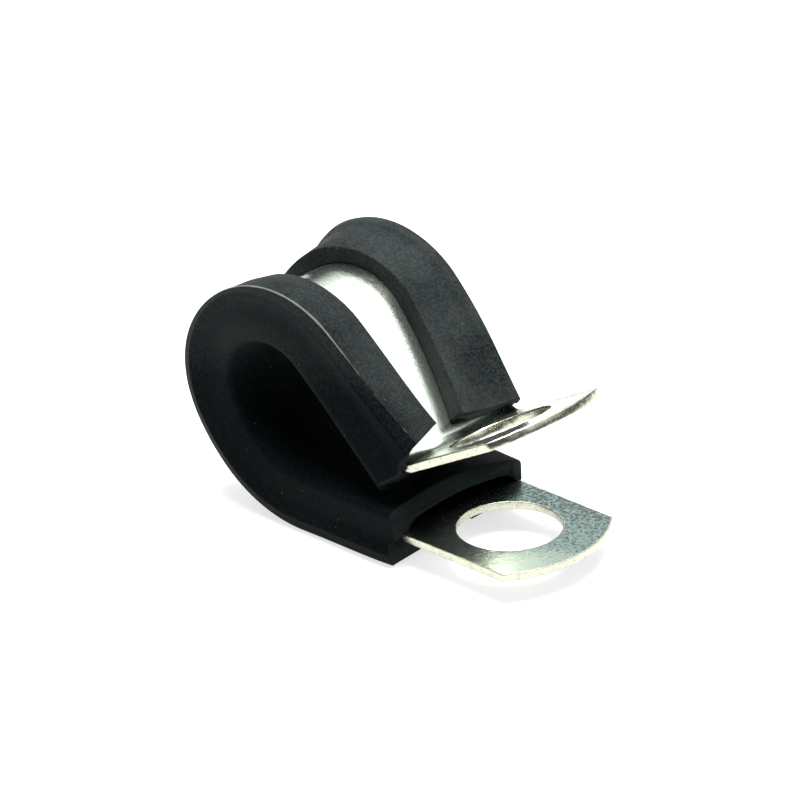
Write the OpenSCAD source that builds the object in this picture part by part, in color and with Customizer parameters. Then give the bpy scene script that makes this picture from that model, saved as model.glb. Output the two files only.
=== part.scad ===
// Rubber-lined P clip: a one-piece bent steel band with two drilled tabs, and a one-piece rubber
// liner snapped over both edges of the band round the loop.
//
// Both pieces follow one path in the X-Z plane: the band is a strip of even thickness along it, and the
// liner is a section carried along its loop. The origin is the centre of the lower bolt hole, halfway
// through the steel. +X points to the tip of the lower tab, +Y is the axis of the loop, and +Z is
// square to the lower tab, on the side of the loop. The straight runs of the loop are worked out from
// its arcs, so that the mouth stays open and the bolt holes stay in line when another size changes.

/* [Band] */
// Width of the steel band
band_w = 12.7; // [10:0.1:20]
// Thickness of the steel band
band_t = 0.7; // [0.5:0.05:1]
// Diameter of the bolt hole in each tab, clearance for an M8 bolt
hole_d = 8.4; // [4.3:0.1:10.2]

/* [Tabs] */
// Flat steel between the lower bolt hole and the end of the liner
hole_margin = 0.8; // [0.3:0.1:3]
// Flat steel between the upper bolt hole and the bend at the root of its tab
bend_margin = 0.1; // [0.1:0.1:3]
// Steel between each bolt hole and the line across the corners of its tab
corner_margin = 0.9; // [0.5:0.1:4]
// How far the rounded end of a tab bulges past its corners
tip_bulge = 2.3; // [0.8:0.1:4]
// Angle at which the upper tab springs open from the lower one
upper_tab_rise = 28.5; // [10:0.5:34]
// How far the upper bolt hole stands back from the lower one, towards the loop, while the clip is open
hole_lag = 0.6; // [0:0.1:2]

/* [Loop] */
// Radius of the outside of the band round the back of the loop
back_r = 10; // [8.3:0.1:14]
// Angle that the band turns through at that radius
back_turn = 75; // [50:1:90]
// Radius of the outside of the band over the crown of the loop
crown_r = 7.3; // [6:0.1:9]
// Angle at which the straight run beyond the crown comes down towards the tabs
upper_run_fall = 42.5; // [35:0.5:51]
// Radius inside the bend between that run and the upper tab
bend_r = 1; // [0.6:0.1:1.4]
// Clear height of the open mouth, between the two ends of the liner
mouth_gap = 0.9; // [0.3:0.1:3]

/* [Liner] */
// Thickness of the liner's side walls, beside the edges of the band
side_wall = 1.05; // [0.7:0.05:2]
// Height of the crowned pad over the inside of the band, at its middle
pad_h = 3; // [2.4:0.1:3.6]
// Height of the pad over the inside of the band, at its side walls
pad_side_h = 1.7; // [1.3:0.1:2.1]
// Height of the hollow between the pad and the band, at its middle
hollow_h = 1.5; // [1.1:0.1:1.8]
// Height of the hollow next to the edges of the band
hollow_side_h = 0.9; // [0.3:0.05:1.05]
// Width of the ledge inside each side wall that an edge of the band sits on
ledge_w = 0.35; // [0.2:0.05:0.8]
// How far each flank of the hollow leans in from its ledge
hollow_flank = 0.9; // [0.4:0.1:1.5]
// Thickness of each lip over the outside of the band, at its outer rim
lip_rim_t = 1.8; // [1.3:0.1:2.4]
// Thickness of each lip at its free edge
lip_edge_t = 0.95; // [0.5:0.05:1.25]
// Width of bare steel between the lips over the crown and round the back
lip_gap = 5.8; // [3:0.1:7]
// Width of bare steel between the lips at both ends of the liner
lip_end_gap = 2.4; // [1:0.1:3]
// Radius of the rims where the side walls turn into the lips, over the crown and round the back
rim_r = 0.7; // [0.3:0.1:1.2]
// Radius of the rims at both ends of the liner
rim_end_r = 1.3; // [0.3:0.1:1.6]
// Radius of the shoulders where the side walls turn into the pad
shoulder_r = 0.5; // [0.2:0.1:0.7]
// Clearance between the liner and the steel all round each edge of the band
seat_clearance = 0.05; // [0.02:0.01:0.15]
// How far the free edges of the lips stop short of the side walls at the ends of the liner
lip_end_slant = 0.8; // [0:0.1:1.5]

/* [Hidden] */

steel = "gainsboro";
rubber = [0.09, 0.1, 0.1];

$fn = 96;
turn_step = 4; // degrees of the path between one station and the next
rim_steps = 4; // points round each rim
shoulder_steps = 3; // points round each shoulder
crown_steps = 10; // flat steps across the pad and the hollow

corner_reach = hole_d / 2 + corner_margin;
tip_reach = corner_reach + tip_bulge;
tip_r = (pow(band_w / 2, 2) + pow(tip_bulge, 2)) / (2 * tip_bulge);
tip_spare = band_t; // strip beyond each tip, which the tip's round end is cut from

// A pose is [x, z, heading]. This is the pose at a share t of the way along a leg.
function on_leg(pose, leg, t) =
    leg[1] == 0 ? [pose[0] + t * leg[0] * cos(pose[2]), pose[1] + t * leg[0] * sin(pose[2]), pose[2]] :
    let (
        side = sign(leg[1]),
        h = pose[2] - t * leg[1],
        x = pose[0] + leg[0] * (cos(pose[2] - 90 * side) - cos(h - 90 * side)),
        z = pose[1] + leg[0] * (sin(pose[2] - 90 * side) - sin(h - 90 * side))
    ) [x, z, h];
function pose_after(pose, legs, count, i = 0) =
    i == count ? pose : pose_after(on_leg(pose, legs[i], 1), legs, count, i + 1);

// The path of the outside of the band, from the lower tab's tip round the loop to the upper one's. Each
// leg is [length, 0] for a straight run or [radius, turn] for an arc. The path turns clockwise round
// the loop, which lies on its right, and a negative turn bends it back the other way. The loop is laid
// out first as if its lower run had no length, and that run then brings the bolt holes into line.
LOWER_TAB = 0;
LOWER = 1;
BACK = 2;
CROWN = 3;
UPPER = 4;
BEND = 5;
UPPER_TAB = 6;
path_start = [tip_reach + tip_spare, -band_t / 2, 180];
round_legs = [
    [path_start[0] + hole_d / 2 + hole_margin, 0],
    [0, 0],
    [back_r, back_turn],
    [crown_r, 180 + upper_run_fall - back_turn]
];
// Height of the outside of the band where the upper run ends, over two pads and the mouth between them
root_z = band_t / 2 + pad_h + mouth_gap + (pad_h + band_t) * cos(upper_run_fall);
upper_run = (pose_after(path_start, round_legs, UPPER)[1] - root_z) / sin(upper_run_fall);
tab_legs = [
    [upper_run, 0],
    [bend_r, -upper_run_fall - upper_tab_rise],
    [bend_margin + hole_d / 2 + path_start[0], 0]
];
unset_legs = concat(round_legs, tab_legs);
function upper_hole(legs) =
    on_leg(pose_after(path_start, legs, UPPER_TAB), [bend_margin + hole_d / 2, 0], 1);
lower_run = upper_hole(unset_legs)[0] + hole_lag;
legs = [for (i = [0:len(unset_legs) - 1]) i == LOWER ? [lower_run, 0] : unset_legs[i]];
function start_of(i) = pose_after(path_start, legs, i);

// The poses along the legs from one to another. An arc has one each few degrees.
function steps_in(leg) = leg[1] == 0 ? 1 : ceil(abs(leg[1]) / turn_step);
function poses(first, last) = [
    for (i = [first:last], k = [0:steps_in(legs[i])])
        if (k > 0 || i == first) on_leg(start_of(i), legs[i], k / steps_in(legs[i]))
];

// The point that lies n out from the outside of the band at a pose, in the X-Z plane.
function out_from(pose, n) = [pose[0] - n * sin(pose[2]), pose[1] + n * cos(pose[2])];

// A corner of a section at p between its neighbours a and b, rounded to r with a number of points.
function unit(v) = v / norm(v);
function round_corner(a, p, b, r, count) =
    let (
        u = unit(a - p),
        v = unit(b - p),
        half = acos(u * v) / 2,
        c = p + unit(u + v) * r / sin(half),
        from = p + u * r / tan(half) - c,
        sweep = sign(cross(from, p + v * r / tan(half) - c)) * (180 - 2 * half)
    )
    [for (k = [0:count - 1])
        let (t = sweep * k / (count - 1))
        c + [from[0] * cos(t) - from[1] * sin(t), from[0] * sin(t) + from[1] * cos(t)]];

// Points of the arc from [n0, -y0] to [n0, y0] that stands out to n0 + rise in the middle.
function bulge(n0, y0, rise) =
    let (r = (y0 * y0 + rise * rise) / (2 * abs(rise)), half = asin(y0 / r))
    [for (k = [0:crown_steps])
        let (a = -half + 2 * half * k / crown_steps)
        [n0 + sign(rise) * (r * cos(a) - r * cos(half)), r * sin(a)]];

function reversed(points) = [for (k = [len(points) - 1:-1:0]) points[k]];
function mirrored(points) = [for (p = reversed(points)) [p[0], -p[1]]];

// The liner's section is two rows of as many points, [distance out from the band, distance across],
// from the free edge of one lip to the free edge of the other. The outer row goes round the rims, side
// walls, shoulders and pad, and the inner row round the seats of the band's edges and the hollow.
seat_y = band_w / 2 + seat_clearance;
half_w = seat_y + side_wall;
shoulder_n = -band_t - pad_side_h;
pad_arc = bulge(shoulder_n, half_w - 2 * shoulder_r, pad_side_h - pad_h);
ledge_n = -band_t - seat_clearance;
ledge_y = band_w / 2 - ledge_w;
hollow_arc = bulge(-band_t - hollow_side_h, ledge_y - hollow_flank, hollow_side_h - hollow_h);

function outer_side(gap, rim) = concat(
    [[lip_edge_t, -gap / 2]],
    round_corner([lip_edge_t, -gap / 2], [lip_rim_t, -half_w], [shoulder_n, -half_w], rim, rim_steps),
    round_corner([lip_rim_t, -half_w], [shoulder_n, -half_w], pad_arc[0], shoulder_r, shoulder_steps)
);
function inner_side(gap) = concat(
    [for (k = [0:rim_steps]) [seat_clearance, -gap / 2 - k / rim_steps * (seat_y - gap / 2)]],
    [[ledge_n, -seat_y], [ledge_n, -ledge_y], (hollow_arc[0] + [ledge_n, -ledge_y]) / 2]
);
function both_sides(side, middle) = concat(side, middle, mirrored(side));

// A lip's free edge stops short of the side wall at an end of the liner, and nothing else does.
function short_by(p, gap) = p[0] <= 0 ? 0 : lip_end_slant * (half_w - abs(p[1])) / (half_w - gap / 2);

// Each station is [pose, gap between the lips, radius of the rims, which way its end is slanted]. The
// gap opens and the rims sharpen along the lower run, and the reverse along the upper one.
function liner_stations() = concat(
    [[start_of(LOWER), lip_end_gap, rim_end_r, 1]],
    [for (pose = poses(BACK, CROWN)) [pose, lip_gap, rim_r, 0]],
    [[start_of(BEND), lip_end_gap, rim_end_r, -1]]
);

module band_strip() {
    path = poses(LOWER_TAB, UPPER_TAB);
    outline = concat(
        [for (pose = path) out_from(pose, 0)],
        [for (pose = reversed(path)) out_from(pose, -band_t)]
    );
    rotate([90, 0, 0]) linear_extrude(band_w, center = true) polygon(outline);
}

// A tab's cutters have the axis of its bolt hole on Z and its tip towards +X.
module bolt_hole() {
    translate([0, 0, -band_t]) cylinder(h = 2 * band_t, d = hole_d);
}

// What is cut away round the tip, outside the arc that ends it.
module tip_waste() {
    difference() {
        translate([0, -band_w, -band_t]) cube([2 * tip_reach, 2 * band_w, 2 * band_t]);
        translate([tip_reach - tip_r, 0, -2 * band_t]) cylinder(h = 4 * band_t, r = tip_r);
    }
}

module at_upper_hole() {
    hole = upper_hole(legs);
    translate([hole[0], 0, hole[1]]) rotate([0, -hole[2], 0]) translate([0, 0, -band_t / 2]) children();
}

module band() {
    color(steel) difference() {
        band_strip();
        bolt_hole();
        tip_waste();
        at_upper_hole() {
            bolt_hole();
            tip_waste();
        }
    }
}

// The liner is one skin over its section at every station, closed by a strip of faces at each end.
module liner() {
    stations = liner_stations();
    row = len(both_sides(outer_side(lip_gap, rim_r), pad_arc));
    ring = 2 * row;
    points = [
        for (s = stations)
            let (pose = s[0], gap = s[1], slant = s[3])
            for (p = concat(
                both_sides(outer_side(gap, s[2]), pad_arc),
                reversed(both_sides(inner_side(gap), hollow_arc))
            ))
                let (at = out_from(pose, p[0]), d = slant * short_by(p, gap))
                [at[0] + d * cos(pose[2]), p[1], at[1] + d * sin(pose[2])]
    ];
    skin = [
        for (i = [0:len(stations) - 2], k = [0:ring - 1])
            let (a = i * ring + k, b = i * ring + (k + 1) % ring)
            each [[a, b, b + ring], [a, b + ring, a + ring]]
    ];
    last = (len(stations) - 1) * ring;
    ends = [
        for (k = [0:row - 2])
            let (a = k, b = k + 1, c = ring - 2 - k, d = ring - 1 - k)
            each [
                [a, c, b], [a, d, c],
                [last + a, last + b, last + c], [last + a, last + c, last + d]
            ]
    ];
    color(rubber) polyhedron(points, concat(skin, ends));
}

band();
liner();
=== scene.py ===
"""Rubber-lined P clip: the looks of the bent steel band and of the rubber liner on it.

Both pieces follow one line in the X-Z plane, the outer face of the band, which runs from the lower tab
round the loop to the upper tab. A point is given by s, the distance along that line, y, the distance
across the band, and n, the distance out from its outer face. Lengths are in millimetres until a mesh
is made, and the mesh is in metres.
"""

import math

import bmesh
import bpy
import numpy as np
from bpy.props import FloatProperty, FloatVectorProperty, IntProperty, PointerProperty
from mathutils import Matrix, Vector


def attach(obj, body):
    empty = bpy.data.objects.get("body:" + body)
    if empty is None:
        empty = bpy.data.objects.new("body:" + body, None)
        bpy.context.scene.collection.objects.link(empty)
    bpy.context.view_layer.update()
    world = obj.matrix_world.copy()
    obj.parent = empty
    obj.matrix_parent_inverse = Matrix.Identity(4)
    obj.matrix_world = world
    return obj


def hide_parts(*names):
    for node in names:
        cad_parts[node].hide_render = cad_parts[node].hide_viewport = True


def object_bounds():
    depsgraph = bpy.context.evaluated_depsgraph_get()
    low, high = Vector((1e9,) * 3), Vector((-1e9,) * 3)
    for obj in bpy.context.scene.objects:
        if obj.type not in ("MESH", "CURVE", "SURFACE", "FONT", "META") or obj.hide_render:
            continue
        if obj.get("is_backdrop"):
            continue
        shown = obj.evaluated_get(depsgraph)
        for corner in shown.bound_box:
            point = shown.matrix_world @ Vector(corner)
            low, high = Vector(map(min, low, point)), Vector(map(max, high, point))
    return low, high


bl_info = {
    "name": "Rubber-lined P Clip",
    "version": (1, 0, 0),
    "blender": (4, 5, 0),
    "location": "3D View > Sidebar > P Clip",
    "description": "Builds the steel band, the rubber liner and the studio of a P clip",
    "category": "Add Mesh",
}

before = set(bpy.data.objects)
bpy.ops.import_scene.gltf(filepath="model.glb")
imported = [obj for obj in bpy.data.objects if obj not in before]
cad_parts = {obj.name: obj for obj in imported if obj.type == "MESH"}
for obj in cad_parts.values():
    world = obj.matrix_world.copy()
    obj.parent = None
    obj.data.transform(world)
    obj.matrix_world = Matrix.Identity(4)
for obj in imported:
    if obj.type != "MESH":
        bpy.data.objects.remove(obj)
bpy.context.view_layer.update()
MM = 0.001  # one millimetre in metres
DARK_SIDE = (0.32, -0.87, 0.37)  # the direction in which the room round the clip is darkest
KEY_SIZE = (0.35, 0.35)  # of the large light, in metres
KEY_PLACE = (0.02, 0.02, 0.58)  # from the middle of the clip to the large light, in metres
FLOOR_R = 3.0  # in metres
TAB_SPARE = 0.09  # how far behind its hole a tab's patch ends and the strip starts, in millimetres


# ---------------------------------------------------------------- sizes and colours


def size(name, default, low, high, about):
    """A length in millimetres that a user can change."""
    return FloatProperty(name=name, description=about, default=default, min=low, max=high)


def angle(name, degrees, low, high, about):
    """An angle that a user can change."""
    return FloatProperty(
        name=name, description=about, default=math.radians(degrees), min=math.radians(low),
        max=math.radians(high), subtype="ANGLE", unit="ROTATION",
    )


def colour(name, default, about):
    """A colour that a user can change."""
    return FloatVectorProperty(
        name=name, description=about, default=default, min=0.0, max=1.0, size=3, subtype="COLOR"
    )


def settings_of(group):
    """The names of a group's own settings."""
    return [name for name in group.bl_rna.properties.keys() if name not in ("rna_type", "name")]


class ClipBandSettings(bpy.types.PropertyGroup):
    """Sizes and colours of the steel band, in millimetres."""

    width: size("Width", 12.7, 9, 20, "Width of the strip")
    thickness: size("Thickness", 0.7, 0.5, 1, "Thickness of the strip")
    hole_r: size("Hole radius", 4.2, 2, 5, "Radius of the bolt hole in each tab")
    hole_margin: size("Hole margin", 0.8, 0.3, 3, "Flat steel between the lower hole and the liner")
    bend_margin: size("Bend margin", 0.1, 0.1, 3, "Flat steel between the upper hole and the bend")
    corner_reach: size("Corner reach", 5.1, 4, 9, "From a hole's centre to the line across its tab's corners")
    tip_bulge: size("Tip bulge", 2.3, 0.8, 4, "How far a tab's round end stands past its corners")
    hole_lag: size("Hole lag", 0.6, 0, 2, "How far the upper hole stands back from the lower one")
    roll: size("Edge roll", 0.14, 0.02, 0.3, "How far the sheared edges are rolled over")
    burr: size("Burr", 0.022, 0, 0.1, "How uneven the sheared edges are")
    back_r: size("Back radius", 10, 8, 14, "Radius of the band round the back of the loop")
    crown_r: size("Crown radius", 7.3, 6, 9, "Radius of the band over the crown of the loop")
    bend_r: size("Bend radius", 1, 0.6, 1.4, "Radius inside the bend at the root of the upper tab")
    back_turn: angle("Back turn", 75, 50, 90, "Angle that the band turns through round the back")
    fall: angle("Upper run fall", 42.5, 35, 51, "Angle at which the band comes down from the crown")
    rise: angle("Upper tab rise", 28.5, 10, 34, "Angle between the upper tab and the lower one")
    plate: colour("Zinc plate", (0.42, 0.55, 0.505), "Colour of the plated faces")
    # Also the colour of the painted highlight on the loop and the near side.
    plate_pale_and_highlight: colour("Pale plate", (0.84, 0.91, 0.80), "Colour of the plate where it is palest")
    plate_dull: colour("Dull plate", (0.10, 0.125, 0.125), "Colour of the dull specks in the plate")
    cut: colour("Cut edge", (0.60, 0.61, 0.49), "Colour of the sheared edges")
    cut_dull: colour("Dull cut edge", (0.26, 0.25, 0.18), "Colour of the sheared edges where they are dull")


class ClipLinerSettings(bpy.types.PropertyGroup):
    """Sizes and colours of the rubber liner, in millimetres."""

    pad_h: size("Pad height", 3, 2.4, 3.6, "Height of the pad, which the gap between the tabs makes room for")
    hollow_h: size("Hollow height", 1.5, 1.1, 1.8, "Height of the hollow at its middle")
    hollow_side_h: size("Hollow side height", 0.9, 0.3, 1.05, "Height of the hollow at its sides")
    ledge_w: size("Ledge width", 0.35, 0.2, 0.8, "Width of the ledge under each edge of the band")
    hollow_flank: size("Hollow flank", 0.9, 0.4, 1.5, "How far each flank of the hollow leans in")
    mouth_gap: size("Mouth gap", 0.9, 0.3, 3, "Clear height between the two ends of the liner")
    clearance: size("Seat clearance", 0.05, 0.02, 0.15, "Clearance round the edges of the band")
    seam_h: size("Seam height", 0.05, 0, 0.2, "Height of the moulding line along the near rim")
    stations: IntProperty(
        name="Stations", description="Sections along the liner", default=420, min=60, max=800
    )
    rubber: colour("Rubber", (0.0014, 0.0025, 0.0030), "Colour of the rubber")
    # This colour also paints the light from above on the walls near the top of the loop.
    rubber_worn_and_painted_light: colour("Worn rubber", (0.032, 0.037, 0.0362), "Colour of the rubber where it is rubbed")
    rubber_cut: colour("Cut rubber", (0.012, 0.0155, 0.016), "Colour of the cut ends of the rubber")
    dust: colour("Dust", (0.30, 0.32, 0.30), "Colour of the dust on the rubber")


class ClipStageSettings(bpy.types.PropertyGroup):
    """The floor, the lights and the camera."""

    azimuth: angle("Azimuth", 44.87, -180, 180, "Direction that the camera looks from")
    elevation: angle("Elevation", 26.43, -90, 90, "Height that the camera looks from")
    roll: angle("Roll", -2.24, -45, 45, "Turn of the camera about its own axis")
    distance: size("Distance", 600, 100, 5000, "From the camera to the point that it looks at")
    lens: FloatProperty(
        name="Lens", description="Focal length", default=344.8, min=10, max=1000,
        subtype="DISTANCE_CAMERA",
    )
    aim: FloatVectorProperty(
        name="Aim", description="The point that the camera looks at, in millimetres",
        default=(-9.002, -2.556, 9.483), size=3,
    )
    floor: colour("Floor", (0.36, 0.36, 0.36), "Colour of the floor")
    glow: FloatProperty(
        name="Floor glow", description="How far the floor lights itself", default=0.70, min=0
    )
    key: FloatProperty(
        name="Key light", description="Power of the large light", default=8.0, min=0, unit="POWER"
    )
    fill: FloatProperty(name="Sky", description="Strength of the surrounding light", default=1.7, min=0)


# ---------------------------------------------------------------- the line of the band


class BandLine:
    """The band's outer face in the X-Z plane: straight runs and arcs, each tangent to the next.

    A leg is (length, 0) for a straight run or (radius, turn in radians) for an arc. The line starts at
    the lower bolt hole, heading towards -X, and turns clockwise round the loop. A negative turn bends
    it back the other way.
    """

    LOWER_TAB, LOWER, BACK, CROWN, UPPER, BEND, UPPER_TAB = range(7)

    def __init__(self, band, liner):
        t, fall, rise = band.thickness, band.fall, band.rise
        self.start = (0.0, -t / 2, math.pi)
        round_legs = [
            (band.hole_r + band.hole_margin, 0.0),
            (0.0, 0.0),
            (band.back_r, band.back_turn),
            (band.crown_r, math.pi + fall - band.back_turn),
        ]
        root_z = t / 2 + liner.pad_h + liner.mouth_gap + (liner.pad_h + t) * math.cos(fall)
        upper_run = (self.end_of(round_legs)[1] - root_z) / math.sin(fall)
        legs = round_legs + [
            (upper_run, 0.0), (band.bend_r, -fall - rise), (band.bend_margin + band.hole_r, 0.0)
        ]
        legs[self.LOWER] = (self.end_of(legs)[0] + band.hole_lag, 0.0)
        self.legs = legs
        lengths = [run if turn == 0 else run * abs(turn) for run, turn in legs]
        self.s = np.concatenate([[0.0], np.cumsum(lengths)])
        self.length = self.s[-1]

    def end_of(self, legs):
        """The pose (x, z, heading) at the end of these legs."""
        pose = self.start
        for leg in legs:
            pose = self.along(pose, leg, 1.0)
        return pose

    @staticmethod
    def along(pose, leg, share):
        """The pose at a share of the way along a leg: a step ahead, or a turn about the arc's centre."""
        x, z, heading = pose
        length, turn = leg
        if turn == 0:
            ahead = share * length
            return x + ahead * np.cos(heading), z + ahead * np.sin(heading), heading + 0 * ahead
        side = math.copysign(math.pi / 2, turn)
        to = heading - share * turn
        return (
            x + length * (np.cos(heading - side) - np.cos(to - side)),
            z + length * (np.sin(heading - side) - np.sin(to - side)),
            to,
        )

    def at(self, s):
        """Arrays of x, z and heading at the distances s, each from the leg that it falls in. The first
        and last legs run on past their ends, to the tips of the tabs."""
        s = np.asarray(s, float)
        x, z, heading = np.zeros_like(s), np.zeros_like(s), np.zeros_like(s)
        pose = self.start
        last = len(self.legs) - 1
        for i, leg in enumerate(self.legs):
            low = -np.inf if i == 0 else self.s[i]
            high = np.inf if i == last else self.s[i + 1]
            here = (s >= low) & (s < high)
            share = (s[here] - self.s[i]) / (self.s[i + 1] - self.s[i])
            x[here], z[here], heading[here] = self.along(pose, leg, share)
            pose = self.along(pose, leg, 1.0)
        return x, z, heading

    def place(self, s, y, n, ahead=0):
        """Points in metres: out by n from the line at s, square to its heading, y across, and then
        straight ahead along that heading."""
        x, z, heading = self.at(s)
        across, up = np.cos(heading), np.sin(heading)
        return MM * np.stack([x - n * up + ahead * across, y + 0 * x, z + n * across + ahead * up], -1)


# ---------------------------------------------------------------- meshes


def grid_faces(rows, columns, closed_rows=False, closed_columns=False):
    """Quads of a grid of rows x columns points, as one array. A closed direction joins its last line
    to its first."""
    r = np.arange(rows if closed_rows else rows - 1)[:, None]
    c = np.arange(columns if closed_columns else columns - 1)[None, :]
    r2, c2 = (r + 1) % rows, (c + 1) % columns
    quads = [r * columns + c, r * columns + c2, r2 * columns + c2, r2 * columns + c]
    return np.stack([q + 0 * (r + c) for q in quads], -1).reshape(-1, 4)


def ripple(points, wavelength, seed, waves=7):
    """Smooth noise of about -1 to 1 at points: the sum of the sines of a few plane waves of near that
    wavelength, whose directions and phases come from the seed, over the root of their number."""
    rng = np.random.default_rng(seed)
    directions = rng.normal(size=(waves, points.shape[-1]))
    directions /= np.linalg.norm(directions, axis=1)[:, None]
    frequencies = 2 * np.pi / wavelength * rng.uniform(0.6, 1.6, waves)
    phases = rng.uniform(0, 2 * np.pi, waves)
    return np.sin(points @ (directions * frequencies[:, None]).T + phases).sum(-1) / waves ** 0.5 / 1.2


def make_piece(name, points, faces, values, material):
    """A mesh object of these points and faces, closed up and smooth shaded, with a value for each point
    under each name in values, and with cap 1 on the many-sided faces that close an end."""
    mesh = bpy.data.meshes.new(name)
    mesh.from_pydata(points, [], faces)
    for value, array in values.items():
        mesh.attributes.new(value, "FLOAT", "POINT").data.foreach_set("value", array.astype(np.float32))
    piece = bpy.data.objects.new(name, mesh)
    bpy.context.scene.collection.objects.link(piece)
    close_up(mesh)
    sides = np.array([len(face.vertices) for face in mesh.polygons])
    mesh.attributes.new("cap", "FLOAT", "FACE").data.foreach_set("value", (sides > 4).astype(np.float32))
    mesh.materials.append(material)
    return piece


def close_up(mesh):
    """Merges doubled points, turns all faces outwards and shades them smooth."""
    work = bmesh.new()
    work.from_mesh(mesh)
    bmesh.ops.remove_doubles(work, verts=work.verts, dist=1e-4 * MM)
    bmesh.ops.recalc_face_normals(work, faces=work.faces)
    work.to_mesh(mesh)
    work.free()
    mesh.polygons.foreach_set("use_smooth", np.ones(len(mesh.polygons), bool))


# ---------------------------------------------------------------- the steel band


def edge_profile(band):
    """The sheared edge in section, as (how far in from the outline, n), from the outer face to the
    inner one: rolled over on the punch's side, then a straight wall, then a sharper far corner."""
    t, roll = band.thickness, band.roll
    return np.array([
        (roll, 0.0), (0.62 * roll, -0.06 * roll), (0.3 * roll, -0.25 * roll), (0.1 * roll, -0.55 * roll),
        (0.0, -roll), (0.0, -0.55 * t), (0.0, 0.35 * roll - t), (0.12 * roll, 0.08 * roll - t),
        (0.4 * roll, -t),
    ])


def tab_outline(band, back, inset, back_points, side_points, tip_points):
    """Points round a tab, in from its true outline by inset, as (a, y): a is towards the tip from the
    hole's centre. They run along the line at the back, one side, the round tip and the other side. The
    tip is an arc through both corners: its radius is the sum of the squares of half the width and of
    the bulge, over twice the bulge."""
    half = band.width / 2 - inset
    tip_reach = band.corner_reach + band.tip_bulge
    tip_r = ((band.width / 2) ** 2 + band.tip_bulge ** 2) / (2 * band.tip_bulge)
    centre, r = tip_reach - tip_r, tip_r - inset
    spread = math.asin(half / r)
    corner = centre + r * math.cos(spread)
    across = np.linspace(half, -half, back_points, endpoint=False)
    forth = np.linspace(-back, corner, side_points, endpoint=False)
    turn = np.linspace(-spread, spread, tip_points, endpoint=False)
    return np.concatenate([
        np.stack([np.full(back_points, -back), across], -1),
        np.stack([forth, np.full(side_points, -half)], -1),
        np.stack([centre + r * np.cos(turn), r * np.sin(turn)], -1),
        np.stack([np.linspace(corner, -back, side_points, endpoint=False), np.full(side_points, half)], -1),
    ])


def tab_patch(band, back, back_points):
    """A tab with its hole, as a ring of rings: up the wall of the hole, out over the outer face, down
    the sheared edge and back under the inner face. A ring on a face is a share of the outline plus the
    rest of the hole's circle, point by point. Gives each point as (a, y, n), whether it is on a cut
    edge, and the faces. The quads where the strip joins on, at the back, are left out."""
    side_points, tip_points = 26, 56
    profile = edge_profile(band)
    outline = [tab_outline(band, back, i, back_points, side_points, tip_points) for i, _ in profile]
    bearing = np.arctan2(outline[0][:, 1], outline[0][:, 0])
    ray = np.stack([np.cos(bearing), np.sin(bearing)], -1)
    hole = [(band.hole_r + i) * ray for i, _ in profile]
    shares = [0.06, 0.16, 0.3, 0.45, 0.6, 0.75, 0.88, 0.96]
    rings, heights, cut = [], [], []

    def add(ring, n, on_cut):
        rings.append(ring)
        heights.append(n)
        cut.append(on_cut)

    for ring, (_, n) in reversed(list(zip(hole, profile))):
        add(ring, n, 1.0)
    for f in shares:
        add((1 - f) * hole[0] + f * outline[0], 0.0, 0.0)
    first_edge = len(rings)
    for ring, (_, n) in zip(outline, profile):
        add(ring, n, 1.0)
    last_edge = len(rings) - 1
    for f in reversed(shares):
        add((1 - f) * hole[-1] + f * outline[-1], -band.thickness, 0.0)
    count = len(ray)
    faces = grid_faces(len(rings), count, closed_rows=True, closed_columns=True)
    row, column = np.divmod(faces[:, 0], count)
    joined = (row >= first_edge) & (row < last_edge) & (column < back_points)
    flat = np.concatenate(rings)
    n = np.repeat(heights, count)
    on_cut = np.repeat(cut, count).reshape(-1, count)
    on_cut[first_edge:last_edge + 1, 1:back_points] = 0
    return np.column_stack([flat, n]), on_cut.reshape(-1), faces[~joined]


def band_strip(band, line, back, back_points):
    """The strip between the two tabs: the outline of its section, (y, n), repeated at stations s along
    the line, closest together in the bend. Gives what tab_patch gives, as (s, y, n)."""
    profile = edge_profile(band)
    half = band.width / 2
    top = np.linspace(half - profile[0, 0], profile[0, 0] - half, back_points + 1)
    under = np.linspace(profile[-1, 0] - half, half - profile[-1, 0], back_points + 1)
    walls = profile[1:-1]
    ring = np.concatenate([
        np.column_stack([top, np.zeros_like(top)]),
        np.column_stack([walls[:, 0] - half, walls[:, 1]]),
        np.column_stack([under, np.full_like(under, -band.thickness)]),
        np.column_stack([half - walls[::-1, 0], walls[::-1, 1]]),
    ])
    face = np.concatenate([[1], np.zeros(back_points - 1), [1]])
    on_cut = np.concatenate([face, np.ones(len(walls)), face, np.ones(len(walls))])
    last = line.length - back
    stretches = (
        (back, line.s[line.BACK], 0.5), (line.s[line.BACK], line.s[line.UPPER], 0.13),
        (line.s[line.UPPER], line.s[line.BEND], 0.4), (line.s[line.BEND], last, 0.04),
    )
    stations = [
        np.linspace(a, b, max(2, int((b - a) / step)), endpoint=False) for a, b, step in stretches
    ]
    s = np.concatenate(stations + [[last]])
    points = np.column_stack([np.repeat(s, len(ring)), np.tile(ring, (len(s), 1))])
    return points, np.tile(on_cut, len(s)), grid_faces(len(s), len(ring), closed_columns=True)


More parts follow.
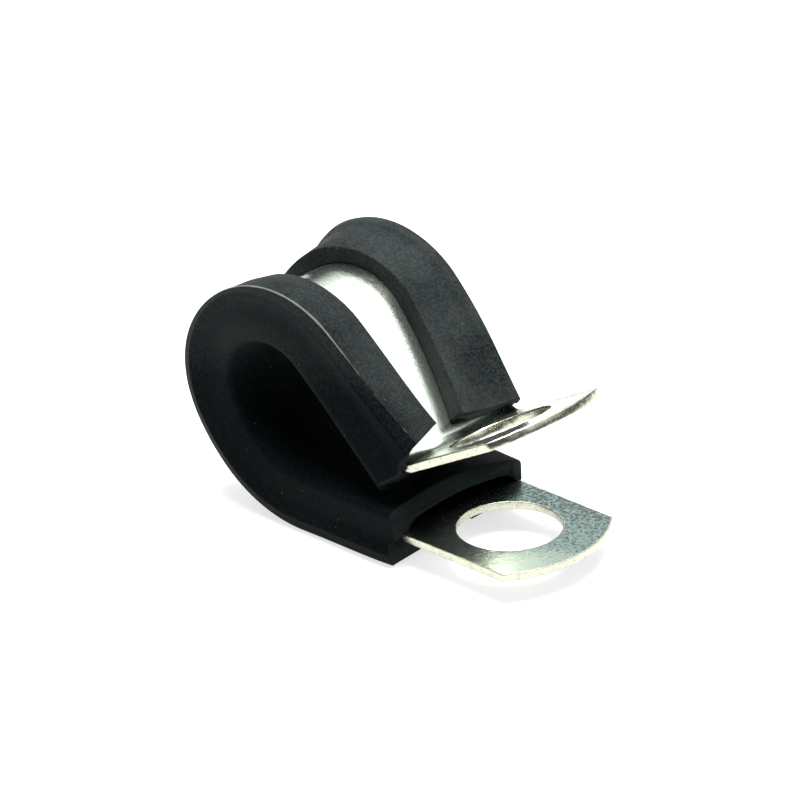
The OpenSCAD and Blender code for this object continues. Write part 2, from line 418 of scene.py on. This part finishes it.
def build_band(band, line):
    """The whole band: two tabs and the strip between them, laid out flat, roughened along the sheared
    edges by ripples and then bent to the line."""
    back, back_points = band.hole_r + TAB_SPARE, 26
    tab, tab_cut, tab_faces = tab_patch(band, back, back_points)
    lower = tab * [-1, 1, 1]
    upper = tab + [line.length, 0, 0]
    strip, strip_cut, strip_faces = band_strip(band, line, back, back_points)
    flat = np.concatenate([lower, upper, strip])
    cut = np.concatenate([tab_cut, tab_cut, strip_cut])
    faces = np.concatenate([
        tab_faces[:, ::-1], tab_faces + len(lower), strip_faces + len(lower) + len(upper)
    ])
    rough = cut * band.burr
    flat = flat + rough[:, None] * np.stack([
        ripple(flat, 1.1, seed=1), ripple(flat, 0.9, seed=2), 0.6 * ripple(flat * [1, 1, 0.3], 0.8, seed=3)
    ], -1)
    points = line.place(flat[:, 0], flat[:, 1], flat[:, 2])
    return points, faces, {"cut": cut}


# ---------------------------------------------------------------- the rubber liner


def curve_through(x, knots, values):
    """A smooth curve through the values at the knots: cubic pieces, each with the slope at its two ends
    that the values on both sides of a knot give."""
    knots, values = np.asarray(knots, float), np.asarray(values, float)
    slopes = np.gradient(values, knots)
    i = np.clip(np.searchsorted(knots, x, side="right") - 1, 0, len(knots) - 2)
    h = knots[i + 1] - knots[i]
    f = (x - knots[i]) / h
    near = (1 + 2 * f) * (1 - f) ** 2 * values[i] + f * (1 - f) ** 2 * h * slopes[i]
    return near + f * f * (3 - 2 * f) * values[i + 1] - f * f * (1 - f) * h * slopes[i + 1]


def rounded_section(corners, radii, counts, corner_points):
    """A closed outline through corners (stations x corners x 2), each rounded to its radius by an arc
    of corner_points, with each side cut into a number of steps. The arc at a corner runs between the
    two points where a circle of that radius touches both sides: the spoke to the one point turns into
    the spoke to the other at an even rate."""
    before = np.roll(corners, 1, axis=1) - corners
    after = np.roll(corners, -1, axis=1) - corners
    u = before / np.linalg.norm(before, axis=-1, keepdims=True)
    v = after / np.linalg.norm(after, axis=-1, keepdims=True)
    half = np.arccos(np.clip((u * v).sum(-1), -0.9999, 0.9999)) / 2
    r = np.broadcast_to(radii, half.shape)
    reach = r / np.tan(half)
    middle = (u + v) / np.linalg.norm(u + v, axis=-1, keepdims=True)
    centre = corners + middle * (r / np.sin(half))[..., None]
    a = corners + u * reach[..., None] - centre
    b = corners + v * reach[..., None] - centre
    sweep = np.pi - 2 * half
    arcs = []
    for f in np.linspace(0, 1, corner_points):
        share_a, share_b = np.sin((1 - f) * sweep) / np.sin(sweep), np.sin(f * sweep) / np.sin(sweep)
        arcs.append(centre + share_a[..., None] * a + share_b[..., None] * b)
    arcs = np.stack(arcs, 2)
    rows = []
    for k, count in enumerate(counts):
        rows.append(arcs[:, k])
        end, start = arcs[:, k, -1], arcs[:, (k + 1) % len(counts), 0]
        f = np.arange(1, count)[None, :, None] / count
        rows.append(end[:, None] * (1 - f) + start[:, None] * f)
    return np.concatenate(rows, axis=1)


class LinerShape:
    """Where the corners of the liner's section lie along the loop, in millimetres: each has its y,
    across the band from its middle, and its n, out from the band's outer face, at the stations in AT.
    A station is -1 at the lower end, 0 at the start of the crown and 1 at the upper end. The last
    numbers say how the ends are cut and how uneven the rubber is."""

    AT = (-1, -0.55, -0.2, 0.08, 0.3, 0.5, 0.75, 1)
    NEAR_EDGE = ((-1.2, -1.1, -1.4, -2.3, -2.85, -2.75, -2.42, -1.9),
                 (1.0, 1.0, 1.1, 1.2, 1.1, 0.95, 0.92, 0.9))
    NEAR_RIM = ((-7.1, -7.2, -7.3, -7.35, -7.15, -7.0, -6.6, -6.0),
                (1.94, 2.1, 2.15, 2.3, 1.55, 1.62, 1.85, 2.3))
    NEAR_CREASE = ((-7.65, -7.8, -7.85, -7.8, -7.6, -7.55, -7.3, -6.95),
                   (0.9, 0.95, 1.05, 1.42, 1.18, 0.87, 1.15, 1.65))
    NEAR_WAIST = ((-7.4, -7.5, -7.5, -7.45, -7.2, -7.05, -6.95, -6.85),
                  (-0.3, -0.3, -0.3, -0.2, -0.2, -0.3, -0.1, 0.2))
    NEAR_SHOULDER = ((-7.95, -7.55, -7.1, -7.45, -8.1, -8.0, -7.65, -7.7),
                     (-2.95, -2.8, -2.6, -2.7, -2.8, -3.0, -3.1, -3.1))
    PAD = ((-0.6, 0.0, 0.0, 0.0, 0.0, 0.0, 0.0, 0.0),
           (-3.8, -3.7, -3.7, -3.7, -3.7, -3.7, -3.7, -3.7))
    FAR_SHOULDER = ((6.6, 7.1, 7.3, 7.6, 7.7, 7.6, 7.2, 6.95),
                    (-2.4, -2.4, -2.4, -2.5, -2.5, -2.5, -2.4, -2.4))
    FAR_WAIST = ((6.6, 6.9, 7.1, 7.2, 7.2, 7.2, 7.0, 6.85),
                 (-0.4, -0.3, -0.2, 0.2, 0.2, 0.2, -0.1, -0.3))
    FAR_RIM = ((6.8, 7.1, 7.3, 7.6, 7.65, 7.55, 7.4, 6.65),
               (1.8, 2.0, 2.3, 2.86, 3.42, 3.66, 3.15, 1.48))
    FAR_EDGE = ((1.2, 1.0, 1.0, 0.85, 2.35, 2.8, 1.95, 0.0),
                (1.0, 1.0, 1.15, 1.4, 1.4, 1.4, 1.65, 1.9))
    CUT_REACH = 3.0  # how far from each end the lean of its cut is felt
    LIP_DEPTH = 0.6  # how far under the band's outer face a lip's cut turns into the wall's
    LOWER_LIP = 0.5  # how far the lower lips stop short
    LOWER_SKEW = 0.066  # how far the lower end is askew, for each millimetre across
    # How far the near and far lips stop short at the upper end, and how far the pad runs on, by y.
    UPPER_NEAR_LIP = ((-7, -6, -2), (-0.4, -0.1, 1.0))
    UPPER_FAR_LIP = ((0.2, 6.6), (0.5, -0.3))
    UPPER_PAD = ((-7.9, -6.9, 0, 7), (0.2, 1.1, 0.9, 0.0))
    SEAM_R = 0.09  # of the moulding line
    SWELL, SWELL_WAVE = 0.05, 9.0  # height and length of the ripples out from the band
    SWAY, SWAY_WAVE = 0.06, 11.0  # and of the ripples across it


def build_liner(band, liner, line):
    """The liner: at each station along the loop, the rounded outline through the section's corners,
    with the moulding line and ripples added to y and n, placed on the line and then moved ahead by how
    far the cut ends lean. A many-sided face closes each end. With each point come its share of the
    moulding line and of the lips."""
    start, end = line.s[line.LOWER], line.s[line.BEND]
    crown = line.s[line.CROWN]
    s = np.linspace(start, end, liner.stations)
    v = np.where(s < crown, (s - crown) / (crown - start), (s - crown) / (end - crown))
    shape = LinerShape

    def corner(values):
        return [curve_through(v, shape.AT, axis) for axis in values]

    def between(a, b, share, out):
        """A corner at that share of the way from a to b, stood out a little."""
        return [a[0] + share * (b[0] - a[0]), a[1] + share * (b[1] - a[1]) + out]

    near_edge, near_rim = corner(shape.NEAR_EDGE), corner(shape.NEAR_RIM)
    near_crease, near_waist = corner(shape.NEAR_CREASE), corner(shape.NEAR_WAIST)
    near_shoulder, far_shoulder = corner(shape.NEAR_SHOULDER), corner(shape.FAR_SHOULDER)
    far_waist, far_rim, far_edge = corner(shape.FAR_WAIST), corner(shape.FAR_RIM), corner(shape.FAR_EDGE)
    pad_top = corner(shape.PAD)
    t, c = band.thickness, liner.clearance
    seat_y = band.width / 2 + c
    ledge_y = band.width / 2 - liner.ledge_w
    hollow_y = ledge_y - liner.hollow_flank
    one = np.ones_like(s)
    # Each corner of the section: where it is, its radius and the steps to the next one.
    corners = [
        (near_edge, 0.14, 5),
        (between(near_edge, near_rim, 0.45, 0.14), 3.0, 8),
        (near_rim, 0.10, 6),
        (near_crease, 0.30, 5),
        (near_waist, 1.6, 8),
        (near_shoulder, 0.7, 1),
    ]
    # The pad is an arch between the two shoulders.
    for f in np.linspace(0.16, 0.92, 12):
        level = near_shoulder[1] + f * (far_shoulder[1] - near_shoulder[1])
        arch = 1 - (2 * f - 1) ** 2
        y = near_shoulder[0] + f * (far_shoulder[0] - near_shoulder[0])
        middle = 0.5 * (near_shoulder[1] + far_shoulder[1])
        corners.append(((y, level + (pad_top[1] - middle) * arch), 0.3, 1))
    corners += [
        (far_shoulder, 0.6, 6),
        (far_waist, 1.2, 6),
        (far_rim, 0.8, 6),
        (between(far_edge, far_rim, 0.6, -0.7), 2.0, 6),
        (far_edge, 0.16, 4),
        ((far_edge[0], c * one), 0.04, 8),
        ((seat_y * one, c * one), 0.04, 3),
        ((seat_y * one, (-t - c) * one), 0.04, 2),
        ((ledge_y * one, (-t - c) * one), 0.05, 2),
    ]
    # So is the hollow under the band, between its two flanks.
    for f in np.linspace(0, 1, 9):
        rise = (liner.hollow_h - liner.hollow_side_h) * (1 - (2 * f - 1) ** 2)
        place = ((hollow_y - 2 * hollow_y * f) * one, (-t - liner.hollow_side_h - rise) * one)
        corners.append((place, 0.2, 1))
    corners += [
        ((-ledge_y * one, (-t - c) * one), 0.05, 2),
        ((-seat_y * one, (-t - c) * one), 0.04, 2),
        ((-seat_y * one, c * one), 0.04, 8),
        ((near_edge[0], c * one), 0.04, 4),
    ]
    section = np.stack([np.stack(place, -1) for place, _, _ in corners], 1)
    ring = rounded_section(
        section, np.array([r for _, r, _ in corners]), [steps for _, _, steps in corners], 5
    )
    rows, columns = ring.shape[:2]
    y, n = ring[..., 0], ring[..., 1]
    rim_y, rim_n = near_rim[0][:, None], near_rim[1][:, None]
    seam = np.exp(-((y - rim_y) ** 2 + (n - rim_n) ** 2) / shape.SEAM_R ** 2)
    # Two shares that pass smoothly from 0 to 1: outside the band's face, and inside the near rim there.
    outer = 1 / (1 + np.exp(-8 * (n - 0.4)))
    lips = outer / (1 + np.exp(-8 * (y - rim_y)))
    along = np.repeat(s[:, None], columns, 1)
    where = np.stack([along, y, n], -1)
    swell = ripple(where * [1, 0.6, 0.6], shape.SWELL_WAVE, seed=4)
    n = n + liner.seam_h * seam + shape.SWELL * outer * swell
    y = y + shape.SWAY * outer * ripple(where * [1, 0.2, 0.2], shape.SWAY_WAVE, seed=5)
    # The cut ends lean, by how far a point stands ahead of its place: the lips stop short of the walls,
    # the lower end is cut askew, and the pad's upper end runs on past the band's bend, its corner cut off.
    low = np.clip(1 - (along - start) / shape.CUT_REACH, 0, 1)
    high = np.clip(1 - (end - along) / shape.CUT_REACH, 0, 1)
    lip = np.clip((n + shape.LIP_DEPTH) / shape.LIP_DEPTH, 0, 1)
    short = np.where(y < 0, np.interp(y, *shape.UPPER_NEAR_LIP), np.interp(y, *shape.UPPER_FAR_LIP))
    lower_cut = shape.LOWER_LIP * lip - shape.LOWER_SKEW * np.minimum(y, 2)
    ahead = low * lower_cut - high * lip * short
    ahead = ahead + high * (1 - lip) * np.interp(y, *shape.UPPER_PAD)
    points = line.place(along, y, n, ahead).reshape(-1, 3)
    faces = grid_faces(rows, columns, closed_columns=True).tolist()
    faces.append(list(range(columns - 1, -1, -1)))
    faces.append(list(range((rows - 1) * columns, rows * columns)))
    # The moulding line fades towards the upper end.
    fade = 1 - 0.55 * np.clip((v - 0.62) / 0.15, 0, 1)
    return points, faces, {"seam": (seam * fade[:, None]).reshape(-1), "lips": lips.reshape(-1)}


# ---------------------------------------------------------------- shader expressions


class Value:
    """A socket of a material's node tree. Arithmetic on it adds the Math nodes that work it out."""

    def __init__(self, tree, socket):
        self.tree, self.socket = tree, socket

    def math(self, operation, *others, **settings):
        return self.tree.node("Math", dict(operation=operation, **settings), self, *others)

    def __add__(self, other):
        return self.math("ADD", other)

    __radd__ = __add__

    def __mul__(self, other):
        return self.math("MULTIPLY", other)

    __rmul__ = __mul__

    def __sub__(self, other):
        return self.math("SUBTRACT", other)

    def __rsub__(self, other):
        return self.tree.node("Math", {"operation": "SUBTRACT"}, other, self)

    def limited(self):
        """Kept between 0 and 1."""
        return self.math("ADD", 0.0, use_clamp=True)

    def ramp(self, low, high):
        """0 below low, 1 above high and smooth between them, or the other way round."""
        return self.tree.node(
            "MapRange", {"interpolation_type": "SMOOTHSTEP"}, self, low, high, 0.0, 1.0
        )


class Tree:
    """The node tree of one material, or of the sky."""

    def __init__(self, name, owners=None, shader="Principled BSDF", place="Object"):
        self.owner = (bpy.data.materials if owners is None else owners).new(name)
        self.owner.use_nodes = True
        self.nodes, self.links = self.owner.node_tree.nodes, self.owner.node_tree.links
        self.shader = self.nodes[shader]
        self.place = self.node("TexCoord", {}, output=place)

    def node(self, kind, settings, *inputs, output=0, **named):
        """Adds a node of a kind, makes its settings, and sets or links its sockets: inputs in order,
        and named ones by name. Gives the socket that is asked for."""
        new = self.nodes.new("ShaderNode" + kind)
        for key, value in settings.items():
            setattr(new, key, value)
        for socket, value in list(zip(new.inputs, inputs)) + [(new.inputs[k], v) for k, v in named.items()]:
            self.put(socket, value)
        return Value(self, new.outputs[output])

    def put(self, socket, value):
        """Links a socket to a Value, or sets it to a number or a colour."""
        if isinstance(value, Value):
            self.links.new(value.socket, socket)
        elif value is not None:
            socket.default_value = value

    def position(self, axis):
        """How far along an axis a point lies, in millimetres."""
        return self.node("SeparateXYZ", {}, self.scaled(1), output=axis)

    def scaled(self, x, y=None, z=None):
        """Object coordinates, times these numbers for each millimetre."""
        return self.node("Mapping", {}, self.place, None, None, tuple(k / MM for k in (x, y or x, z or x)))

    def noise(self, per_mm, detail=3.0, roughness=0.55, where=None):
        """Noise with this many features to a millimetre."""
        return self.node(
            "TexNoise", {}, Vector=where or self.scaled(per_mm), Scale=1.0, Detail=detail, Roughness=roughness
        )

    def attribute(self, name):
        """The mesh's own value of that name."""
        return self.node("Attribute", {"attribute_name": name}, output="Fac")

    def mix(self, factor, a, b):
        """Colour a where factor is 0 and b where it is 1."""
        ends = [end if isinstance(end, Value) else (*end, 1.0) for end in (a, b)]
        return self.node("Mix", {"data_type": "RGBA"}, factor, *[None] * 5, *ends, output=2)

    def bump(self, height, strength, distance_mm, under=None):
        """The normal of a surface that stands out by this height times a distance."""
        return self.node(
            "Bump", {}, Height=height, Strength=strength, Distance=distance_mm * MM, Normal=under
        )

    def shade(self, **sockets):
        """Sets or links the surface shader's sockets by name, with _ for a space."""
        for name, value in sockets.items():
            self.put(self.shader.inputs[name.replace("_", " ")], value)
        return self.owner


def rubber_material(liner):
    """Black rubber: a fine grain, rubbed patches on the lips, painted light that makes the walls lighter
    towards the top of the loop, specks of dust and a pale moulding line."""
    m = Tree("black_rubber")
    grain = m.noise(4.5, 4.0, 0.75)
    mottle = m.noise(0.10, 2.0, 0.5)
    patches = m.noise(0.9, 3.0)
    lips = m.attribute("lips")
    # Painted light: a lighter colour on the walls that grows higher up the loop and a little towards -X,
    # standing in for light from above.
    painted_top_light = (m.position("Z") - (m.position("X") + 17.0) * 0.2).ramp(8.5, 15.0) * 0.38
    wear_and_painted_light = (mottle.ramp(0.25, 0.6) * 0.45 + patches.ramp(0.3, 0.7) * 0.15 + 0.20) * lips
    wear_and_painted_light = wear_and_painted_light * (m.position("Y") * 0.04 + 0.98) + (grain.ramp(0.40, 0.62) - 0.5) * (0.20 + lips * 0.24)
    # The painted light on the walls is added to the wear on the lips here.
    wear_and_painted_light = (wear_and_painted_light + painted_top_light * (1 - lips) + 0.02).limited()
    speck = m.node("TexVoronoi", {}, Vector=m.scaled(1.6), Scale=1.0)
    chance = m.noise(1.1, 2.0).ramp(0.52, 0.62)
    dust = speck.ramp(0.07, 0.03) * chance
    line = (m.attribute("seam") + m.noise(0.8, 3.0) * 0.5 - 0.25).ramp(0.35, 0.75)
    base = m.mix(wear_and_painted_light, tuple(liner.rubber), tuple(liner.rubber_worn_and_painted_light))
    base = m.mix(m.attribute("cap") * (0.6 + grain * 0.4), base, tuple(liner.rubber_cut))
    base = m.mix((dust * 0.8 + line * 0.45).limited(), base, tuple(liner.dust))
    rough = (grain - 0.5) * 0.25 + patches * 0.12 + 0.50
    relief = grain * 1.0 + m.noise(2.2, 3.0) * 0.5 + dust * 0.8
    return m.shade(
        Base_Color=base, Roughness=rough.limited(), Normal=m.bump(relief, 0.6, 0.09), IOR=1.5,
        Specular_IOR_Level=0.03, Specular_Tint=(0.72, 0.96, 1.0, 1.0),
    )


def zinc_material(band):
    """Bright zinc plate: a painted highlight makes it palest on the loop and the near side; dull specks
    and painted shade gather on the tabs' far side; creamy sheared edges carry fine dull marks."""
    m = Tree("zinc_steel")
    cut = m.attribute("cut").ramp(0.3, 0.8)
    cloud = m.noise(0.12, 3.0)
    grain = m.noise(2.6, 4.0, 0.7)
    fine = m.noise(9.0, 2.0)
    spots = m.noise(3.4, 3.0, 0.7)
    across = m.position("Y")
    # Painted highlight: on top of random pale clouds, the plate is made paler towards the near side (-Y) and
    # palest higher up on the loop.
    loop = m.position("Z").ramp(1.0, 4.0)
    pale = (cloud * 0.9 - across * 0.10 + 0.10 + loop * 0.7).ramp(0.45, 1.0)
    face = m.mix(pale, tuple(band.plate), tuple(band.plate_pale_and_highlight))
    # Partly painted shade: the dull specks are real spangle, but they are made thicker towards the far side
    # (+Y) and thinner under the painted highlight.
    dull = (spots + across * 0.014).ramp(0.48, 0.64) * (0.85 - pale * 0.70)
    face = m.mix(dull.limited(), face, tuple(band.plate_dull))
    drag = m.noise(1.0, 3.0, 0.75, where=m.scaled(2.6, 2.6, 1.8))
    edge = m.mix((drag * 0.5 + fine * 0.6).ramp(0.58, 0.74), tuple(band.cut), tuple(band.cut_dull))
    rough = grain * 0.16 + fine * 0.06 + 0.10 + dull * 0.12 + cut * 0.04
    height = grain * 0.9 + fine * 0.15 + drag * cut * 0.7 - dull * 0.3
    return m.shade(
        Base_Color=m.mix(cut, face, edge), Metallic=1.0, Roughness=rough.limited(),
        Normal=m.bump(height, 0.3, 0.05),
    )


# ---------------------------------------------------------------- the stage


def add_area_light(name, size_m, power, place, towards):
    """A soft rectangular light at a place, facing a point, both in metres."""
    lamp = bpy.data.lights.new(name, "AREA")
    lamp.shape, lamp.size, lamp.size_y, lamp.energy = "RECTANGLE", size_m[0], size_m[1], power
    light = bpy.data.objects.new(name, lamp)
    bpy.context.scene.collection.objects.link(light)
    light.location = place
    light.rotation_euler = (Vector(towards) - Vector(place)).to_track_quat("-Z", "Y").to_euler()
    return light


def add_camera(stage):
    """The camera, which looks at the aim from its distance, turned by azimuth about Z, then by elevation
    and by roll."""
    a, e, r = stage.azimuth, stage.elevation, stage.roll
    right = Vector((math.cos(a), math.sin(a), 0))
    look = Vector((-math.sin(a) * math.cos(e), math.cos(a) * math.cos(e), -math.sin(e)))
    up = right.cross(look)
    right, up = right * math.cos(r) + up * math.sin(r), up * math.cos(r) - right * math.sin(r)
    data = bpy.data.cameras.new("camera")
    data.lens, data.sensor_width = stage.lens, 36.0
    data.clip_start, data.clip_end = 0.01, 20.0
    camera = bpy.data.objects.new("camera", data)
    bpy.context.scene.collection.objects.link(camera)
    place = MM * (Vector(stage.aim) - stage.distance * look)
    turn = Matrix((right, up, -look)).transposed()
    camera.matrix_world = Matrix.Translation(place) @ turn.to_4x4()
    bpy.context.scene.camera = camera


def add_floor(stage, z):
    """A large round floor under the clip: one face through even steps round a circle at height z."""
    turn = np.linspace(0, 2 * np.pi, 64, endpoint=False)
    rim = np.stack([FLOOR_R * np.cos(turn), FLOOR_R * np.sin(turn), np.full_like(turn, z)], -1)
    mesh = bpy.data.meshes.new("floor")
    mesh.from_pydata(rim, [], [list(range(len(rim)))])
    floor = bpy.data.objects.new("floor", mesh)
    bpy.context.scene.collection.objects.link(floor)
    m = Tree("pale_floor")
    mesh.materials.append(m.shade(
        Base_Color=(*stage.floor, 1.0), Roughness=0.9, Emission_Color=(1, 1, 1, 1),
        Emission_Strength=stage.glow,
    ))
    floor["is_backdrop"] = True


def add_sky(stage):
    """A white ceiling over a dark room, darkest on one side, for bright steel to reflect."""
    m = Tree("studio", bpy.data.worlds, "Background", "Generated")
    height = m.node("SeparateXYZ", {}, m.place, output="Z")
    walls = m.node(
        "VectorMath", {"operation": "DOT_PRODUCT"}, m.place, DARK_SIDE, output="Value"
    )
    light = height.ramp(0.26, 0.44) * 0.48 + height.ramp(0.46, 0.70) * 0.52
    light = light * (1 - walls.ramp(0.20, 0.80) * 0.94)
    bpy.context.scene.world = m.shade(
        Color=m.mix(light.limited(), (0.010, 0.011, 0.012), (0.97, 1.0, 1.0)), Strength=stage.fill
    )


# ---------------------------------------------------------------- operators and panel


class MESH_OT_clip_band(bpy.types.Operator):
    """Build the steel band, with its two drilled tabs"""

    bl_idname = "mesh.clip_band"
    bl_label = "Steel Band"
    bl_options = {"REGISTER", "UNDO"}

    def execute(self, context):
        band, liner = context.scene.clip_band, context.scene.clip_liner
        points, faces, values = build_band(band, BandLine(band, liner))
        piece = make_piece("steel_band", points, faces, values, zinc_material(band))
        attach(piece, "root")
        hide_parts("band")
        return {"FINISHED"}


class MESH_OT_clip_liner(bpy.types.Operator):
    """Build the rubber liner round the loop of the band"""

    bl_idname = "mesh.clip_liner"
    bl_label = "Rubber Liner"
    bl_options = {"REGISTER", "UNDO"}

    def execute(self, context):
        band, liner = context.scene.clip_band, context.scene.clip_liner
        points, faces, values = build_liner(band, liner, BandLine(band, liner))
        piece = make_piece("rubber_liner", points, faces, values, rubber_material(liner))
        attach(piece, "root")
        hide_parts("liner")
        return {"FINISHED"}


class SCENE_OT_clip_stage(bpy.types.Operator):
    """Set up the pale floor, the soft lights and the camera"""

    bl_idname = "scene.clip_stage"
    bl_label = "Studio"
    bl_options = {"REGISTER", "UNDO"}

    def execute(self, context):
        stage = context.scene.clip_stage
        low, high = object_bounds()
        middle = (Vector(low) + Vector(high)) / 2
        add_camera(stage)
        add_floor(stage, low[2])
        add_sky(stage)
        add_area_light("key", KEY_SIZE, stage.key, middle + Vector(KEY_PLACE), middle)
        context.scene.view_settings.view_transform = "Standard"
        return {"FINISHED"}


class VIEW3D_PT_clip(bpy.types.Panel):
    """Lists what the P clip is built from"""

    bl_label = "P Clip"
    bl_idname = "VIEW3D_PT_clip"
    bl_space_type = "VIEW_3D"
    bl_region_type = "UI"
    bl_category = "P Clip"

    def draw(self, context):
        for operator, settings in STEPS:
            box = self.layout.box()
            box.operator(operator.bl_idname)
            group = getattr(context.scene, settings)
            for name in settings_of(group):
                box.prop(group, name)


STEPS = [
    (MESH_OT_clip_band, "clip_band"),
    (MESH_OT_clip_liner, "clip_liner"),
    (SCENE_OT_clip_stage, "clip_stage"),
]
GROUPS = {
    "clip_band": ClipBandSettings,
    "clip_liner": ClipLinerSettings,
    "clip_stage": ClipStageSettings,
}
CLASSES = [*GROUPS.values(), *(operator for operator, _ in STEPS), VIEW3D_PT_clip]


def register():
    for item in CLASSES:
        bpy.utils.register_class(item)
    for name, group in GROUPS.items():
        setattr(bpy.types.Scene, name, PointerProperty(type=group))


def unregister():
    for name in GROUPS:
        delattr(bpy.types.Scene, name)
    for item in reversed(CLASSES):
        bpy.utils.unregister_class(item)


def main():
    """Registers the classes and runs the steps in order."""
    register()
    bpy.ops.mesh.clip_band()
    bpy.ops.mesh.clip_liner()
    bpy.ops.scene.clip_stage()


if __name__ == "__main__":
    main()
